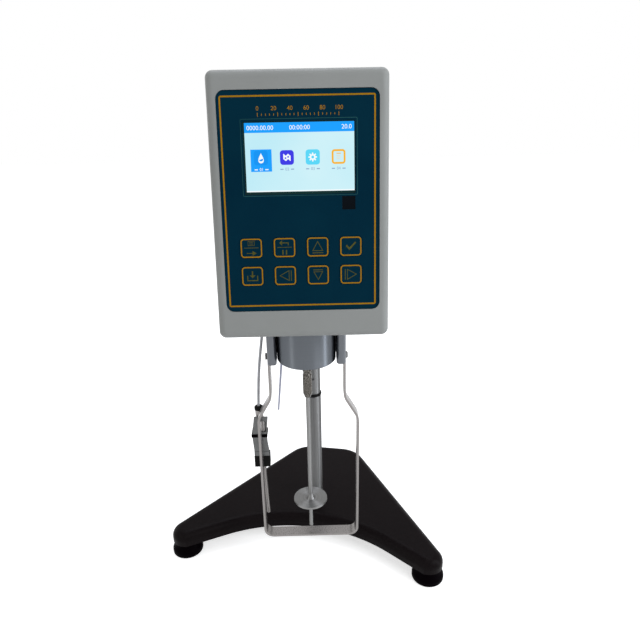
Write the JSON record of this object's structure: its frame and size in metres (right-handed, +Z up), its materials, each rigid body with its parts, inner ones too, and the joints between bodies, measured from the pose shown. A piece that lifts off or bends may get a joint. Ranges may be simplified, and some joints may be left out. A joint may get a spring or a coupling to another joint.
{
  "type": "rotational viscometer",
  "caption": "Rotational viscometer: a leaning-face measuring head with display, keys, disc spindle and wire guard, raised on a rack column over a two-legged cast base.",
  "frame": {"origin": "middle of the footprint's bounding box, on the table", "axes": "+Z up, -Y towards the user, the spindle axis is vertical"},
  "size_m": [0.2404, 0.21, 0.4045],
  "materials": {
    "black_casting": "satin black stove enamel",
    "polished_steel": "polished stainless",
    "zinc_steel": "bright zinc",
    "black_rubber": "matt",
    "black_plastic": "fine moulded grain",
    "black_anodised": "black anodised",
    "grey_housing": "fine texture",
    "vial": "clear acrylic over yellow-green fluid",
    "printed_panel": "satin printed film",
    "printed_key": "satin printed film",
    "dark_window": "smoked window",
    "display": "lit colour display under glass",
    "circuit": "fibre board",
    "turned_steel": "fine turned",
    "guard_steel": "polished stainless",
    "plate_aluminium": "milled",
    "motor_can": "satin",
    "clip_steel": "nickel plated spring steel",
    "grey_lead": "smooth silicone",
    "nylon": "natural nylon"
  },
  "bodies": {
    "stand": {"base_casting": "black_casting", "column_lower": "polished_steel", "column_nut": "zinc_steel", "column_ring": "black_rubber", "column_upper": "polished_steel", "column_rack": "polished_steel", "column_cap": "black_plastic"},
    "foot_left": {"foot_left": "black_plastic"},
    "foot_right": {"foot_right": "black_plastic"},
    "foot_rear": {"foot_rear": "black_plastic"},
    "head": {"lift_block": "black_anodised", "flange_screws": "zinc_steel", "pinion_cover": "black_anodised", "front_shell": "grey_housing", "rear_shell": "grey_housing", "level_vial": "vial", "front_panel": "printed_panel", "spot_window": "dark_window", "display_glass": "display", "display_module": "circuit", "keypad_board": "circuit", "switch_frame": "black_plastic", "power_socket": "black_plastic", "data_port": "zinc_steel", "spindle_boss": "turned_steel", "guard": "guard_steel", "guard_lug_left": "turned_steel", "guard_lug_right": "turned_steel", "guard_screw_left": "zinc_steel", "guard_screw_right": "zinc_steel", "chassis": "plate_aluminium", "motor": "motor_can", "probe": "guard_steel", "probe_collar": "black_rubber", "clip_plate": "clip_steel", "clip_band": "black_plastic", "clip_pin": "clip_steel", "pad_fixed": "black_rubber", "probe_lead": "grey_lead", "lead_grommet": "black_rubber", "tie_tail": "nylon"},
    "pinion": {"pinion": "zinc_steel", "lift_knob": "black_plastic"},
    "lock": {"lock_screw": "zinc_steel", "lock_knob": "black_plastic"},
    "spindle": {"drive_shaft": "turned_steel", "coupling_nut": "turned_steel", "spindle": "guard_steel"},
    "rocker": {"power_rocker": "black_plastic"},
    "clip_jaw": {"clip_jaw": "clip_steel", "pad_moving": "black_rubber"},
    "key_1": {"key_1": "printed_key"},
    "key_2": {"key_2": "printed_key"},
    "key_3": {"key_3": "printed_key"},
    "key_4": {"key_4": "printed_key"},
    "key_5": {"key_5": "printed_key"},
    "key_6": {"key_6": "printed_key"},
    "key_7": {"key_7": "printed_key"},
    "key_8": {"key_8": "printed_key"}
  },
  "joints": [
    {"name": "head_lift", "type": "slide", "parent": "stand", "child": "head", "axis": [0, 0, 1], "range_m": [-0.038, 0.08]},
    {"name": "lift_knob_turn", "type": "hinge", "parent": "head", "child": "pinion", "pos_m": [0.01168, 0.03349, 0.276], "axis": [1, 0, 0], "range_deg": [-366, 768]},
    {"name": "lock_knob_turn", "type": "hinge", "parent": "head", "child": "lock", "pos_m": [0.01168, 0.01999, 0.295], "axis": [-1, 0, 0], "range_deg": [0, 180]},
    {"name": "spindle_spin", "type": "hinge", "parent": "head", "child": "spindle", "pos_m": [0.00768, -0.05141, 0.206], "axis": [0, 0, 1], "continuous": true},
    {"name": "power_rocker_tilt", "type": "hinge", "parent": "head", "child": "rocker", "pos_m": [-0.02712, -0.00901, 0.3665], "axis": [1, 0, 0], "range_deg": [0, 14]},
    {"name": "clip_jaw_open", "type": "hinge", "parent": "head", "child": "clip_jaw", "pos_m": [-0.03212, -0.03756, 0.1346], "axis": [1, 0, 0], "range_deg": [0, 8], "stiffness_Nm_per_rad": 0.05, "springref_deg": -5.73},
    {"name": "foot_left_screw", "type": "slide", "parent": "stand", "child": "foot_left", "axis": [0, 0, -1], "range_m": [0, 0.005]},
    {"name": "foot_right_screw", "type": "slide", "parent": "stand", "child": "foot_right", "axis": [0, 0, -1], "range_m": [0, 0.005]},
    {"name": "foot_rear_screw", "type": "slide", "parent": "stand", "child": "foot_rear", "axis": [0, 0, -1], "range_m": [0, 0.005]},
    {"name": "key_1_press", "type": "slide", "parent": "head", "child": "key_1", "axis": [0, 0.9869, -0.1611], "range_m": [0, 0.0005], "stiffness_N_per_m": 2000, "springref_m": -0.0003},
    {"name": "key_2_press", "type": "slide", "parent": "head", "child": "key_2", "axis": [0, 0.9869, -0.1611], "range_m": [0, 0.0005], "stiffness_N_per_m": 2000, "springref_m": -0.0003},
    {"name": "key_3_press", "type": "slide", "parent": "head", "child": "key_3", "axis": [0, 0.9869, -0.1611], "range_m": [0, 0.0005], "stiffness_N_per_m": 2000, "springref_m": -0.0003},
    {"name": "key_4_press", "type": "slide", "parent": "head", "child": "key_4", "axis": [0, 0.9869, -0.1611], "range_m": [0, 0.0005], "stiffness_N_per_m": 2000, "springref_m": -0.0003},
    {"name": "key_5_press", "type": "slide", "parent": "head", "child": "key_5", "axis": [0, 0.9869, -0.1611], "range_m": [0, 0.0005], "stiffness_N_per_m": 2000, "springref_m": -0.0003},
    {"name": "key_6_press", "type": "slide", "parent": "head", "child": "key_6", "axis": [0, 0.9869, -0.1611], "range_m": [0, 0.0005], "stiffness_N_per_m": 2000, "springref_m": -0.0003},
    {"name": "key_7_press", "type": "slide", "parent": "head", "child": "key_7", "axis": [0, 0.9869, -0.1611], "range_m": [0, 0.0005], "stiffness_N_per_m": 2000, "springref_m": -0.0003},
    {"name": "key_8_press", "type": "slide", "parent": "head", "child": "key_8", "axis": [0, 0.9869, -0.1611], "range_m": [0, 0.0005], "stiffness_N_per_m": 2000, "springref_m": -0.0003}
  ],
  "couplings": [
    {"joint": "lift_knob_turn", "follows": "head_lift", "rad_per_m": 166.67}
  ]
}
